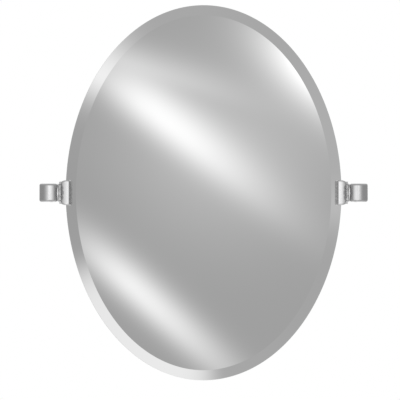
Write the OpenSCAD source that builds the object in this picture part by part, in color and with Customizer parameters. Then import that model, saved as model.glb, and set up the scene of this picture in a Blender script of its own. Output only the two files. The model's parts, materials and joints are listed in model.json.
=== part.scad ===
// Oval pivot mirror: bevelled glass that tilts between two chromed wall arms. Sizes are in millimetres.
//
// The origin is the centre of the four wall screw holes, on the face of the wall. +Y points into the
// wall, +Z is up, and the viewer stands at -Y. The tilt axis runs along X, in front of the origin.
// The left bracket is the mirror image of the right one, so every side piece is drawn for the right.

/* [Glass] */
// Width of the oval glass
glass_w = 485; // [400:1:700]
// Height of the oval glass
glass_h = 660; // [500:1:900]
// Thickness of the glass
glass_t = 5; // [4:0.5:6]
// Width of the bevel round the front face
bevel_w = 18; // [10:1:30]
// Thickness that the bevel leaves at the edge
edge_t = 3; // [2.5:0.25:3.5]
// Thickness of the safety film on the back
film_t = 0.4; // [0.2:0.1:0.6]

/* [Wall arms] */
// Distance from the wall to the tilt axis
standoff = 60; // [50:1:90]
// Width and height of the square arm
arm_w = 32; // [31:0.5:36]
// Wall thickness of the hollow arm
arm_wall = 3; // [2:0.5:3]
// Reach of the arm's nose past the tilt axis
nose_reach = 16; // [16:0.5:20]
// Radius of the nose's crown, seen from above
crown_r = 24; // [24:1:60]
// Radius along the nose's top and bottom edges
nose_round = 4.5; // [2:0.5:6]
// Radius along the arm's four long edges
arm_round = 3; // [1.5:0.5:4]

/* [Clamps] */
// How far the clamp laps over the glass
lap = 7.5; // [5:0.5:8]
// Height of the clamp at its jaw
jaw_h = 44; // [43:0.5:50]
// Height of the clamp at its hub
hub_h = 39.5; // [34:0.5:41]
// Depth of the clamp at its jaw, front to back
jaw_d = 24; // [23:1:28]
// Depth of the clamp at its hub
hub_d = 20; // [14:1:21]
// Length over which the clamp rounds off towards its hub
shoulder = 9; // [6:0.5:10]
// Thickness of the gasket round the edge of the glass
gasket_t = 1.5; // [1:0.25:1.5]

/* [Tilt joint] */
// Diameter of the pivot stud
stud_d = 8; // [6:1:8]
// Diameter of the toothed tension wheel
wheel_d = 39; // [38:0.5:41]
// Thickness of the tension wheel
wheel_t = 3.4; // [3:0.2:5]
// Number of teeth on the tension wheel
teeth = 12; // [8:1:16]
// Radius of the round gaps between the teeth
gap_r = 2.3; // [2:0.1:2.5]
// Distance from the wheel's rim in to the centres of the gaps
gap_inset = 1.5; // [0.5:0.25:1.5]

/* [Wall fixing] */
// Diameter of the wall screw holes
screw_hole_d = 4.8; // [4:0.1:5]
// Distance between the two holes of one wall plate
screw_pitch = 14; // [13:0.5:14]
// Thickness of the wall plate
plate_t = 9; // [8:0.5:12]

/* [Hidden] */

$fn = 96;
cut = 1;             // how far a cutting shape runs past what it cuts
run_gap = 0.3;       // gap between faces that turn past each other
run_fit = 0.05;      // radial clearance of the stud in a bore that it turns in
slide_fit = 0.1;     // gap between the arm and the wall plate that it slides over

// The glass: front, edge of the bevel, back, and the back of its film
oval_steps = 240;
front_y = -standoff - glass_t / 2;
back_y = front_y + glass_t;
edge_y = back_y - edge_t;
film_y = back_y + film_t;
film_inset = 1;
bevel_slope = (glass_t - edge_t) / bevel_w;

// The clamp, from its lip to its hub
edge_x = glass_w / 2;
lip_x = edge_x - lap;
slot_x = edge_x + gasket_t;
hub_web = 5.5;
hub_x = slot_x + hub_web;
clamp_l = hub_x - lip_x;
lip_roll = 2.5;
jaw_round = 7;
gasket_show = 3.7;   // how far the gasket shows past the lip
gasket_tip = 1.5;    // thickness of the gasket's front leg where it ends
show_x = lip_x - gasket_show;
bevel_y = edge_y - bevel_slope * (edge_x - show_x);
slot_front_y = bevel_y - gasket_tip;
seal_y = film_y + gasket_t;

// The pressure plate and its screws, in the back of the slot
press_t = 1.5;
press_w = 6;
press_h = 38;
press_x = lip_x + 1;
press_y = seal_y + press_t;
press_gap = 0.3;     // left behind the plate when its screws are tight
slot_back_y = press_y + press_gap;
clamp_screw_d = 4;
clamp_screw_x = press_x + press_w / 2;
clamp_screw_z = 12;
clamp_screw_l = 6.5;

// The tilt joint, from the hub outwards
wheel_slack = 0.5;   // room for the wheel to back off towards the hub
wheel_x = hub_x + wheel_slack;
wheel_chamfer = 0.8;
washer_x = wheel_x + wheel_t + run_gap;
washer_t = 0.6;
washer_d = 26;
collar_x = washer_x + washer_t;
collar_t = 2;
collar_d = arm_w;
collar_chamfer = 0.5;
spigot_d = stud_d + 8;
bush_d = stud_d + 3.2;
bush_flange_t = 1.2;
bush_flange_d = stud_d + 9;

// The arm and what sits inside it
arm_x = collar_x + collar_t;
arm_cx = arm_x + arm_w / 2;
hollow_w = arm_w - 2 * arm_wall;
hollow_round = 1.5;
inside_x = arm_x + arm_wall;
reach = standoff + nose_reach;
nose_t = 7;          // thickness of the nose at its middle
hollow_end = reach - nose_t;
flat_x = inside_x + bush_flange_t + run_gap;
flat_t = 1.4;
flat_d = stud_d + 8;
spring_x = flat_x + flat_t;
spring_t = 0.9;
spring_h = 1.3;
nut_x = spring_x + spring_h;
nut_af = stud_d + 5;
nut_hex_h = 6.3;
nut_h = 8;
nut_chamfer = 0.8;
stud_start = slot_x + 0.2;
stud_end = nut_x + nut_h + 0.8;

// The wall plate and the grub screw that holds the arm on it
plate_w = hollow_w - 2 * slide_fit;
plate_round = 1.4;
countersink_d = screw_hole_d + 4.4;
grub_d = 5;
grub_y = -plate_t / 2;
seat_depth = 1.6;
seat_z = plate_w / 2 - seat_depth;
grub_end_z = arm_w / 2 + 0.3;

// ---- Shared shapes ----

// Draws a right-hand shape on the left.
module on_left() {
    mirror([1, 0, 0]) children();
}

// Turns a shape drawn along Z so that it runs along X from x, on the tilt axis.
module on_axis(x) {
    translate([x, -standoff, 0]) rotate([0, 90, 0]) children();
}

// Extrudes an outline drawn in (x, z) from y towards the viewer.
module towards_viewer(y, length) {
    translate([0, y, 0]) rotate([90, 0, 0]) linear_extrude(length) children();
}

// Extrudes an outline drawn in (y, z) from x outwards.
module outwards(x, length) {
    translate([x, 0, 0]) rotate([90, 0, 90]) linear_extrude(length) children();
}

// Extrudes an outline drawn in (x, y) to the same height above and below the tilt axis.
module upright(height) {
    linear_extrude(height, center = true) children();
}

// A rectangle with round corners, centred.
module rounded(w, h, r) {
    square([w - 2 * r, h], center = true);
    square([w, h - 2 * r], center = true);
    for (x = [-1, 1], y = [-1, 1])
        translate([x * (w / 2 - r), y * (h / 2 - r)]) circle(r);
}

// What rounding takes off a corner at the origin, on an outline that lies towards -x and -y.
module corner_waste(r) {
    difference() {
        translate([-r, -r]) square(r + cut);
        translate([-r, -r]) circle(r);
    }
}

// An outline from x = 0 back to -length. An arc over its last run brings it from tall to low.
module arched(length, run, tall, low) {
    drop = (tall - low) / 2;
    r = (run * run + drop * drop) / (2 * drop);
    difference() {
        translate([-length, -tall / 2]) square([length, tall]);
        for (s = [0, 1]) mirror([0, s]) difference() {
            translate([-run, tall / 2 - r]) square([run + cut, r + cut]);
            translate([-run, tall / 2 - r]) circle(r);
        }
    }
}

// A ring with both outer edges chamfered.
module ring(d_in, d_out, t, chamfer) {
    rotate_extrude() polygon([
        [d_in / 2, 0], [d_out / 2 - chamfer, 0], [d_out / 2, chamfer],
        [d_out / 2, t - chamfer], [d_out / 2 - chamfer, t], [d_in / 2, t]
    ]);
}

// A screw with no head: chamfered tip at 0, hexagon socket at its other end.
module socket_screw(d, length) {
    chamfer = d / 8;
    socket_af = d / 2;
    socket_depth = d / 2;
    difference() {
        rotate_extrude() polygon([
            [0, 0], [d / 2 - chamfer, 0], [d / 2, chamfer],
            [d / 2, length - chamfer], [d / 2 - chamfer, length], [0, length]
        ]);
        translate([0, 0, length - socket_depth])
            cylinder(d = socket_af / cos(30), h = socket_depth + cut, $fn = 6);
    }
}

// ---- Glass ----

// The point of the oval's edge at angle t, moved inwards by d along the edge's normal.
function oval_point(t, d) =
    let (a = glass_w / 2, b = glass_h / 2, n = [b * cos(t), a * sin(t)])
    [a * cos(t), b * sin(t)] - d * n / norm(n);

// One ring of points round the oval, at depth y.
function oval_ring(y, d) = [
    for (i = [0 : oval_steps - 1])
        let (p = oval_point(360 * i / oval_steps, d)) [p.x, y, p.y]
];

// The strip of triangles that joins ring k to ring k + 1.
function strip(k) = [
    for (i = [0 : oval_steps - 1])
        let (j = (i + 1) % oval_steps, p = k * oval_steps, q = p + oval_steps)
        each [[p + i, p + j, q + i], [p + j, q + j, q + i]]
];

module mirror_glass() {
    points = concat(oval_ring(front_y, bevel_w), oval_ring(edge_y, 0), oval_ring(back_y, 0));
    front = [for (i = [oval_steps - 1 : -1 : 0]) i];
    back = [for (i = [0 : oval_steps - 1]) 2 * oval_steps + i];
    color("lightsteelblue") polyhedron(points, concat([front], strip(0), strip(1), [back]));
}

module safety_backing() {
    color("dimgray") translate([0, film_y, 0]) rotate([90, 0, 0])
        scale([glass_w / 2 - film_inset, glass_h / 2 - film_inset, 1]) cylinder(r = 1, h = film_t);
}

// ---- Wall arm, with its collar, bush and washer ----

// Everything behind the crown of the nose, seen from above and wider than the arm.
module crown_plan() {
    translate([arm_cx, crown_r - reach]) circle(crown_r, $fn = 180);
    translate([arm_x - cut, crown_r - reach]) square([arm_w + 2 * cut, reach]);
}

module arm() {
    color("gainsboro") difference() {
        intersection() {
            towards_viewer(0, reach + cut) translate([arm_cx, 0])
                rounded(arm_w, arm_w, arm_round);
            upright(arm_w + 2 * cut) crown_plan();
        }
        // The round top and bottom edges of the nose
        outwards(arm_x - cut, arm_w + 2 * cut) for (s = [0, 1])
            mirror([0, s]) translate([-reach, arm_w / 2]) mirror([1, 0]) corner_waste(nose_round);
        towards_viewer(cut, hollow_end + cut) translate([arm_cx, 0])
            rounded(hollow_w, hollow_w, hollow_round);
        on_axis(arm_x - cut) cylinder(d = spigot_d, h = arm_wall + 2 * cut);
        translate([arm_cx, grub_y, -arm_w / 2 - cut]) cylinder(d = grub_d, h = arm_wall + 2 * cut);
    }
}

// A thin bright ring against the arm, with a spigot through the arm's wall.
module collar() {
    color("white") on_axis(collar_x) difference() {
        union() {
            ring(bush_d, collar_d, collar_t, collar_chamfer);
            cylinder(d = spigot_d, h = collar_t + arm_wall);
        }
        translate([0, 0, -cut]) cylinder(d = bush_d, h = collar_t + arm_wall + 2 * cut);
    }
}

// Flanged nylon bush that the stud turns in, put in from inside the arm.
module pivot_bush() {
    bore = stud_d + 2 * run_fit;
    color("ivory") on_axis(collar_x) rotate_extrude() polygon([
        [bore / 2, 0], [bush_d / 2, 0], [bush_d / 2, inside_x - collar_x],
        [bush_flange_d / 2, inside_x - collar_x],
        [bush_flange_d / 2, inside_x - collar_x + bush_flange_t],
        [bore / 2, inside_x - collar_x + bush_flange_t]
    ]);
}

module friction_washer() {
    color("ivory") on_axis(washer_x) ring(stud_d + 2 * run_gap, washer_d, washer_t, 0.1);
}

// ---- Wall plate ----

module wall_plate() {
    color("lightslategray") difference() {
        towards_viewer(0, plate_t) translate([arm_cx, 0]) rounded(plate_w, plate_w, plate_round);
        for (s = [-1, 1]) translate([arm_cx, cut, s * screw_pitch / 2]) rotate([90, 0, 0]) {
            cylinder(d = screw_hole_d, h = plate_t + 2 * cut);
            countersink = (countersink_d - screw_hole_d) / 2;
            translate([0, 0, plate_t + cut - countersink])
                cylinder(d1 = screw_hole_d, d2 = countersink_d, h = countersink);
        }
        // The seat of the grub screw, in the underside
        translate([arm_cx, grub_y, -plate_w / 2 - cut])
            cylinder(d = grub_d + 2 * slide_fit, h = seat_depth + cut);
    }
}

module grub_screw() {
    color("dimgray") translate([arm_cx, grub_y, -seat_z]) rotate([180, 0, 0])
        socket_screw(grub_d, grub_end_z - seat_z);
}

// ---- Tension wheel ----

// A thin wheel with round-bottomed gaps between its teeth. One tooth points at the viewer.
module tension_wheel() {
    color("silver") on_axis(wheel_x) difference() {
        ring(stud_d + 2 * run_fit, wheel_d, wheel_t, wheel_chamfer);
        for (i = [0 : teeth - 1]) rotate([0, 0, 90 + 360 * (i + 0.5) / teeth])
            translate([wheel_d / 2 - gap_inset, 0, -cut])
                cylinder(r = gap_r, h = wheel_t + 2 * cut, $fn = 48);
    }
}

// ---- Clamp, with what it holds ----

module clamp() {
    color("gainsboro") difference() {
        intersection() {
            towards_viewer(-standoff + jaw_d, 2 * jaw_d) translate([hub_x, 0])
                arched(clamp_l, shoulder, jaw_h, hub_h);
            upright(jaw_h + cut) translate([hub_x, -standoff]) clamp_plan();
            outwards(lip_x - cut, clamp_l + 2 * cut) translate([-standoff, 0])
                rounded(jaw_d, jaw_h, jaw_round);
        }
        // The slot for the edge of the glass
        upright(jaw_h + 2 * cut) translate([lip_x - cut, slot_front_y])
            square([slot_x - lip_x + cut, slot_back_y - slot_front_y]);
        on_axis(slot_x - cut) cylinder(d = stud_d, h = hub_web + 2 * cut);
        for (s = [-1, 1]) translate([clamp_screw_x, -standoff, s * clamp_screw_z])
            rotate([-90, 0, 0]) cylinder(d = clamp_screw_d, h = jaw_d);
    }
}

// The clamp seen from above: rounded off towards the hub, with a rolled lip.
module clamp_plan() {
    difference() {
        arched(clamp_l, shoulder, jaw_d, hub_d);
        for (s = [0, 1]) mirror([0, s]) translate([-clamp_l, jaw_d / 2]) mirror([1, 0])
            corner_waste(lip_roll);
    }
}

// A soft channel round the edge of the glass. Its front leg fills the wedge over the bevel.
module gasket() {
    tip = 0.3;
    color("darkslategray") upright(jaw_h - 2) polygon([
        [show_x, slot_front_y + tip], [show_x + tip, slot_front_y], [slot_x, slot_front_y],
        [slot_x, seal_y], [lip_x, seal_y], [lip_x, film_y],
        [edge_x, film_y], [edge_x, edge_y], [show_x, bevel_y]
    ]);
}

module pressure_plate() {
    color("lightslategray") translate([press_x, seal_y, -press_h / 2])
        cube([press_w, press_t, press_h]);
}

module clamp_screws() {
    color("dimgray") for (s = [-1, 1])
        translate([clamp_screw_x, press_y, s * clamp_screw_z]) rotate([-90, 0, 0])
            socket_screw(clamp_screw_d, clamp_screw_l);
}

// ---- Stud, washers and nut: they turn with the clamp, inside the arm ----

module pivot_stud() {
    color("silver") on_axis(stud_start) socket_screw(stud_d, stud_end - stud_start);
}

module flat_washer() {
    color("lightslategray") on_axis(flat_x) ring(stud_d + 2 * slide_fit, flat_d, flat_t, 0.2);
}

// A cone-shaped spring washer: its inner edge rests on the nut, its outer one on the flat washer.
module spring_washer() {
    inner = stud_d / 2 + slide_fit;
    outer = flat_d / 2 - slide_fit;
    rise = spring_h - spring_t;
    color("slategray") on_axis(spring_x) rotate_extrude() polygon([
        [outer, 0], [outer, spring_t], [inner, rise + spring_t], [inner, rise]
    ]);
}

// A hexagon nut with a round locking collar.
module lock_nut() {
    corner_r = nut_af / 2 / cos(30);
    locking_r = nut_af / 2 - nut_chamfer;
    color("silver") on_axis(nut_x) difference() {
        union() {
            intersection() {
                cylinder(r = corner_r, h = nut_hex_h, $fn = 6);
                rotate_extrude() polygon([
                    [0, 0], [corner_r - nut_chamfer, 0], [corner_r, nut_chamfer / 2],
                    [corner_r, nut_hex_h - nut_chamfer / 2], [corner_r - nut_chamfer, nut_hex_h],
                    [0, nut_hex_h]
                ]);
            }
            rotate_extrude() polygon([
                [0, 0], [locking_r, 0], [locking_r, nut_h - nut_chamfer],
                [locking_r - nut_chamfer, nut_h], [0, nut_h]
            ]);
        }
        translate([0, 0, -cut]) cylinder(d = stud_d, h = nut_h + 2 * cut);
    }
}

// ---- One line a node ----

mirror_glass();
safety_backing();
on_left() arm();  // left_arm
arm();  // right_arm
on_left() collar();  // left_collar
collar();  // right_collar
on_left() pivot_bush();  // left_pivot_bush
pivot_bush();  // right_pivot_bush
on_left() friction_washer();  // left_friction_washer
friction_washer();  // right_friction_washer
on_left() wall_plate();  // left_wall_plate
wall_plate();  // right_wall_plate
on_left() grub_screw();  // left_grub_screw
grub_screw();  // right_grub_screw
on_left() tension_wheel();  // left_tension_wheel
tension_wheel();  // right_tension_wheel
on_left() clamp();  // left_clamp
clamp();  // right_clamp
on_left() gasket();  // left_gasket
gasket();  // right_gasket
on_left() pressure_plate();  // left_pressure_plate
pressure_plate();  // right_pressure_plate
on_left() clamp_screws();  // left_clamp_screws
clamp_screws();  // right_clamp_screws
on_left() pivot_stud();  // left_pivot_stud
pivot_stud();  // right_pivot_stud
on_left() flat_washer();  // left_flat_washer
flat_washer();  // right_flat_washer
on_left() spring_washer();  // left_spring_washer
spring_washer();  // right_spring_washer
on_left() lock_nut();  // left_lock_nut
lock_nut();  // right_lock_nut
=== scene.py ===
"""The looks of an oval pivot mirror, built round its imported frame. Sizes are in metres.

+X is to the viewer's right, +Y points into the wall and +Z is up. The glass tilts about an axis along X.
Side pieces are modelled once, on the right, and copied to the left.
"""

import json
import logging
import math
from collections.abc import Callable, Iterator, Mapping, Sequence
from contextlib import contextmanager
from dataclasses import dataclass
from enum import Enum
from typing import Self

import bmesh
import bpy
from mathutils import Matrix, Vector

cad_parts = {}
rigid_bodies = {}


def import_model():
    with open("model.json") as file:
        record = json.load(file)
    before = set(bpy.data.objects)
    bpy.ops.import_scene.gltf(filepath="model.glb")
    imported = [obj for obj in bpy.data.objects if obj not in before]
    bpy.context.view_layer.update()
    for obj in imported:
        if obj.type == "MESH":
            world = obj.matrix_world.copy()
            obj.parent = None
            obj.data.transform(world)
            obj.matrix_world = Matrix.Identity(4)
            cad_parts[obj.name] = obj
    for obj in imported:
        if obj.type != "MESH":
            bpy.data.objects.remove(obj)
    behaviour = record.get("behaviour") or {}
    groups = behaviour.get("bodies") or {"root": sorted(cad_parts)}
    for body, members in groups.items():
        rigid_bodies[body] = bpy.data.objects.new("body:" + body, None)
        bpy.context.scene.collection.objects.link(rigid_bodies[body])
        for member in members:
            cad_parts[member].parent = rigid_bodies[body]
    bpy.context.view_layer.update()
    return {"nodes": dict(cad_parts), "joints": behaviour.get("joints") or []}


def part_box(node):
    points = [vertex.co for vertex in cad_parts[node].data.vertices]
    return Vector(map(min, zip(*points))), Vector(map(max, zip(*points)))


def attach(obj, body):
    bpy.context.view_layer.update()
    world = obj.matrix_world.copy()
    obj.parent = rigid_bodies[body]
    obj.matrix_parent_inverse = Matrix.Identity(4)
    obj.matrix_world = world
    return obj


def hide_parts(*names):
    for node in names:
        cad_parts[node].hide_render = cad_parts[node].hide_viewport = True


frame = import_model()

MM = 0.001
TINY = 1e-6  # tolerance where places are equal
NEAR = 0.01 * MM  # tolerance where an operator has placed a point
OVERCUT = 1 * MM  # how far a cutter runs on past what it cuts
SQUARE = 60.0  # edges whose faces meet at more than these degrees count as square
LAMP_POWER = 4.0  # watts that give a square metre of lamp the radiance of white
TILT_AXIS = Vector(next(j for j in frame["joints"] if j["name"] == "mirror_tilt")["pos_m"])
RIGHT, UP, DOWN = Vector((1, 0, 0)), Vector((0, 0, 1)), Vector((0, 0, -1))
INTO_WALL, OUT_OF_WALL = Vector((0, 1, 0)), Vector((0, -1, 0))
log = logging.getLogger("pivot_mirror")

Pair = tuple[float, float]
Triple = tuple[float, float, float]
Settings = Mapping[str, object] | None
Inputs = Mapping[str | int, object] | None


# ---------------------------------------------------------------- shader maths


@dataclass(frozen=True)
class Wire:
    """A value that flows in a node tree. Arithmetic on it adds Math nodes."""

    graph: "Graph"
    socket: bpy.types.NodeSocket

    def maths(self, operation: str, *values: "Wire | float") -> "Wire":
        """Adds one Math node.

        Args:
            operation: The Math node's operation.
            values: Its inputs, in order.

        Returns:
            The node's result.
        """
        return self.graph.node("ShaderNodeMath", {"operation": operation}, dict(enumerate(values)))

    def __add__(self, other: "Wire | float") -> "Wire":
        """Sum."""
        return self.maths("ADD", self, other)

    def __radd__(self, other: float) -> "Wire":
        """Sum, with the number first."""
        return self.maths("ADD", other, self)

    def __sub__(self, other: "Wire | float") -> "Wire":
        """Difference."""
        return self.maths("SUBTRACT", self, other)

    def __rsub__(self, other: float) -> "Wire":
        """Difference, with the number first."""
        return self.maths("SUBTRACT", other, self)

    def __mul__(self, other: "Wire | float") -> "Wire":
        """Product."""
        return self.maths("MULTIPLY", self, other)

    def __rmul__(self, other: float) -> "Wire":
        """Product, with the number first."""
        return self.maths("MULTIPLY", other, self)

    def __truediv__(self, other: "Wire | float") -> "Wire":
        """Quotient."""
        return self.maths("DIVIDE", self, other)

    def __pow__(self, other: float) -> "Wire":
        """Power."""
        return self.maths("POWER", self, other)

    def __neg__(self) -> "Wire":
        """Negative."""
        return self.maths("MULTIPLY", self, -1.0)

    def at_least(self, other: "Wire | float") -> "Wire":
        """The larger of the two."""
        return self.maths("MAXIMUM", self, other)

    def unsigned(self) -> "Wire":
        """Its size, without its sign."""
        return self.maths("ABSOLUTE", self)

    def sine(self) -> "Wire":
        """Sine of an angle in radians."""
        return self.maths("SINE", self)

    def root(self) -> "Wire":
        """Square root."""
        return self.maths("SQRT", self)

    def decay(self) -> "Wire":
        """e to the power of minus this."""
        return self.maths("EXPONENT", -self)

    def step(self, low: float, high: float) -> "Wire":
        """Rises smoothly from 0 where this is low to 1 where it is high."""
        settings = {"interpolation_type": "SMOOTHSTEP"}
        return self.graph.node("ShaderNodeMapRange", settings, {0: self, 1: low, 2: high})


@dataclass(frozen=True)
class Graph:
    """A node tree under construction, of a material, a lamp or the world."""

    tree: bpy.types.NodeTree

    def add(self, kind: str, settings: Settings = None, inputs: Inputs = None) -> bpy.types.Node:
        """Adds one node.

        Args:
            kind: The node's type.
            settings: Its properties, which are set first.
            inputs: For each socket's name or number, a number, a tuple or a wire.

        Returns:
            The node.
        """
        made = self.tree.nodes.new(kind)
        for name, value in (settings or {}).items():
            setattr(made, name, value)
        for name, value in (inputs or {}).items():
            if isinstance(value, Wire):
                self.tree.links.new(value.socket, made.inputs[name])
            else:
                made.inputs[name].default_value = value
        return made

    def node(
        self, kind: str, settings: Settings = None, inputs: Inputs = None, output: str | int = 0
    ) -> Wire:
        """Adds one node, as add() does, and returns one of its outputs."""
        return Wire(self, self.add(kind, settings, inputs).outputs[output])

    def place(self, turn: Triple = (0, 0, 0), stretch: Triple = (1, 1, 1)) -> Wire:
        """The point on the piece, in metres.

        Args:
            turn: Rotation of the pattern, in degrees about X, Y and Z.
            stretch: Factor on each axis. Below 1, the pattern is longer that way.

        Returns:
            The point, as a vector.
        """
        here = self.node("ShaderNodeTexCoord", output="Object")
        angles = tuple(math.radians(a) for a in turn)
        return self.node("ShaderNodeMapping", inputs={"Vector": here, "Rotation": angles, "Scale": stretch})

    def axes(self, vector: Wire) -> tuple[Wire, Wire, Wire]:
        """The three numbers of a vector."""
        split = self.add("ShaderNodeSeparateXYZ", inputs={0: vector})
        return tuple(Wire(self, part) for part in split.outputs)

    def noise(self, size: float, detail: float = 2.0, stretch: Triple = (1, 1, 1)) -> Wire:
        """Cloudy noise from 0 to 1.

        Args:
            size: Size of its patches, in metres.
            detail: Number of finer layers.
            stretch: Factor on each axis.

        Returns:
            The noise.
        """
        inputs = {"Vector": self.place(stretch=stretch), "Scale": 1 / size, "Detail": detail}
        return self.node("ShaderNodeTexNoise", inputs=inputs)

    def cells(self, size: float, output: str = "Distance") -> Wire:
        """A cell pattern with cells of about that size in metres."""
        return self.node("ShaderNodeTexVoronoi", {}, {"Vector": self.place(), "Scale": 1 / size}, output)

    def tint(self, amount: Wire, low: Triple, high: Triple) -> Wire:
        """A colour between low and high."""
        inputs = {0: amount, 6: (*low, 1), 7: (*high, 1)}
        return self.node("ShaderNodeMix", {"data_type": "RGBA"}, inputs, 2)

    def bump(self, height: Wire, depth: float, under: Wire | None = None) -> Wire:
        """A normal from a height of 0 to 1.

        Args:
            height: The height.
            depth: How deep it goes, in metres.
            under: A normal that this one is added to.

        Returns:
            The normal.
        """
        inputs: dict[str | int, object] = {"Height": height, "Distance": depth, "Strength": 1.0}
        if under is not None:
            inputs["Normal"] = under
        return self.node("ShaderNodeBump", inputs=inputs)

    def surface(self, **sockets: object) -> None:
        """Ends a material with a Principled BSDF. Underscores in the sockets' names stand for spaces."""
        inputs = {name.replace("_", " "): value for name, value in sockets.items()}
        shader = self.node("ShaderNodeBsdfPrincipled", inputs=inputs)
        self.add("ShaderNodeOutputMaterial", inputs={"Surface": shader})


# ---------------------------------------------------------------- finishes


@dataclass(frozen=True)
class Finish:
    """A surface finish. Its material is made when it is first asked for."""

    name: str

    def material(self) -> bpy.types.Material:
        """The finish's material.

        Returns:
            The material.
        """
        made = bpy.data.materials.get(self.name)
        if made is None:
            made = bpy.data.materials.new(self.name)
            made.use_nodes = True
            made.node_tree.nodes.clear()
            self.paint(Graph(made.node_tree))
        return made

    def paint(self, graph: Graph) -> None:
        """Fills the material's node tree."""
        raise NotImplementedError


@dataclass(frozen=True)
class SilveredGlass(Finish):
    """Silver seen through clear glass, with a trace of wiping haze and dust."""

    reflectance: float = 0.92
    roughness: float = 0.012

    def paint(self, graph: Graph) -> None:
        """Fills the material's node tree.

        Args:
            graph: The material's node tree.
        """
        wiped = graph.noise(60 * MM, detail=3.0, stretch=(1.0, 1.0, 0.35))
        dust = graph.cells(9 * MM).step(0.035, 0.0)
        haze = wiped.step(0.45, 0.75) * 0.010 + dust * 0.05
        level = self.reflectance - dust * 0.04 - wiped * 0.006
        colour = graph.tint(level, (0.0, 0.0, 0.0), (1.0, 1.0, 1.0))
        graph.surface(Base_Color=colour, Metallic=1.0, Roughness=haze + self.roughness)


@dataclass(frozen=True)
class GroundEdge(Finish):
    """The ground and polished edge of clear glass."""

    def paint(self, graph: Graph) -> None:
        """Fills the material's node tree.

        Args:
            graph: The material's node tree.
        """
        lines = graph.noise(0.5 * MM, detail=2.0, stretch=(1.0, 0.08, 1.0))
        cloud = graph.noise(14 * MM)
        colour = graph.tint(cloud, (0.30, 0.33, 0.32), (0.42, 0.45, 0.44))
        graph.surface(
            Base_Color=colour,
            Roughness=lines * 0.2 + 0.18,
            IOR=1.52,
            Coat_Weight=cloud * 0.3 + 0.4,
            Normal=graph.bump(lines, 0.01 * MM),
        )


@dataclass(frozen=True)
class WovenFilm(Finish):
    """Safety film: a plain weave of flat tapes, laminated on the back of the glass, with painted shade
    where each tape dips under the next.
    """

    tape: float = 2.4 * MM

    def paint(self, graph: Graph) -> None:
        """Fills the material's node tree.

        Args:
            graph: The material's node tree.
        """
        x, _, z = graph.axes(graph.place(turn=(0, 3, 0)))
        turn = math.pi / self.tape
        across, along = (x * turn).sine(), (z * turn).sine()
        over = (across * along).step(-0.25, 0.25)
        rounded = over * across * across + (1 - over) * along * along
        cloud = graph.noise(35 * MM, detail=3.0)
        # Painted shade: the colour darkens towards the edges of each tape, where it dips under the next.
        # One set of tapes is also lighter than the other.
        level = rounded * 0.30 + cloud * 0.25 + over * 0.15
        graph.surface(
            Base_Color=graph.tint(level, (0.13, 0.135, 0.14), (0.36, 0.365, 0.37)),
            Roughness=0.62 - rounded * 0.18,
            Normal=graph.bump(rounded, 0.10 * MM),
        )


@dataclass(frozen=True)
class Chrome(Finish):
    """Polished chrome plate: fine buffing lines, a faint ripple and a little haze.

    Attributes:
        level: Reflectance of the plate.
        roughness: Its roughness where it is clean.
        buffed: Stretch of the buffing lines on each axis.
    """

    level: float = 0.68
    roughness: float = 0.07
    buffed: Triple = (1.0, 0.06, 1.0)

    def relief(self, graph: Graph) -> Wire:
        """The plate's fine relief, as a normal.

        Args:
            graph: The material's node tree.

        Returns:
            The normal.
        """
        ripple = graph.noise(2.2 * MM, detail=1.0)
        lines = graph.noise(0.35 * MM, detail=2.0, stretch=self.buffed)
        return graph.bump(lines, 0.0012 * MM, graph.bump(ripple, 0.004 * MM))

    def paint(self, graph: Graph) -> None:
        """Fills the material's node tree.

        Args:
            graph: The material's node tree.
        """
        haze = graph.noise(7 * MM, detail=4.0).step(0.42, 0.72)
        lines = graph.noise(0.35 * MM, detail=2.0, stretch=self.buffed)
        specks = graph.cells(2.5 * MM).step(0.05, 0.0)
        level = self.level - specks * 0.05 - haze * 0.02
        graph.surface(
            Base_Color=graph.tint(level, (0.0, 0.0, 0.0), (1.0, 1.0, 1.005)),
            Metallic=1.0,
            Roughness=haze * 0.05 + lines * 0.03 + specks * 0.15 + self.roughness,
            Normal=self.relief(graph),
        )


@dataclass(frozen=True)
class TurnedChrome(Chrome):
    """Chrome plate over the fine rings that a lathe tool left."""

    pitch: float = 0.22 * MM

    def relief(self, graph: Graph) -> Wire:
        """The rings about the tilt axis, as a normal.

        Args:
            graph: The material's node tree.

        Returns:
            The normal.
        """
        _, y, z = graph.axes(graph.place())
        out = y - TILT_AXIS.y
        radius = (out * out + z * z).root()
        rings = (radius * (2 * math.pi / self.pitch)).sine() * 0.5 + 0.5
        return graph.bump(rings, 0.003 * MM, graph.bump(graph.noise(3 * MM), 0.004 * MM))


@dataclass(frozen=True)
class ZincPlate(Finish):
    """Dull zinc plate: cloudy crystals and a slight grain."""

    def paint(self, graph: Graph) -> None:
        """Fills the material's node tree.

        Args:
            graph: The material's node tree.
        """
        crystals = graph.cells(1.6 * MM, output="Color")
        cloud = graph.noise(6 * MM, detail=4.0)
        grain = graph.noise(0.3 * MM, detail=2.0)
        patch = graph.axes(crystals)[0]
        level = patch * 0.35 + cloud * 0.45 + grain * 0.2
        graph.surface(
            Base_Color=graph.tint(level, (0.40, 0.41, 0.42), (0.66, 0.665, 0.67)),
            Metallic=0.9,
            Roughness=patch * 0.14 + grain * 0.12 + 0.3,
            Normal=graph.bump(grain, 0.006 * MM),
        )


@dataclass(frozen=True)
class BlackOxide(Finish):
    """Blackened steel screws with a trace of oil and rubbed spots."""

    def paint(self, graph: Graph) -> None:
        """Fills the material's node tree.

        Args:
            graph: The material's node tree.
        """
        rubbed = graph.noise(1.2 * MM, detail=4.0).step(0.55, 0.8)
        oil = graph.noise(3 * MM)
        graph.surface(
            Base_Color=graph.tint(rubbed, (0.022, 0.022, 0.023), (0.16, 0.155, 0.15)),
            Metallic=0.8,
            Roughness=0.46 - oil * 0.16 - rubbed * 0.06,
            Normal=graph.bump(graph.noise(0.25 * MM), 0.006 * MM),
        )


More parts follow.
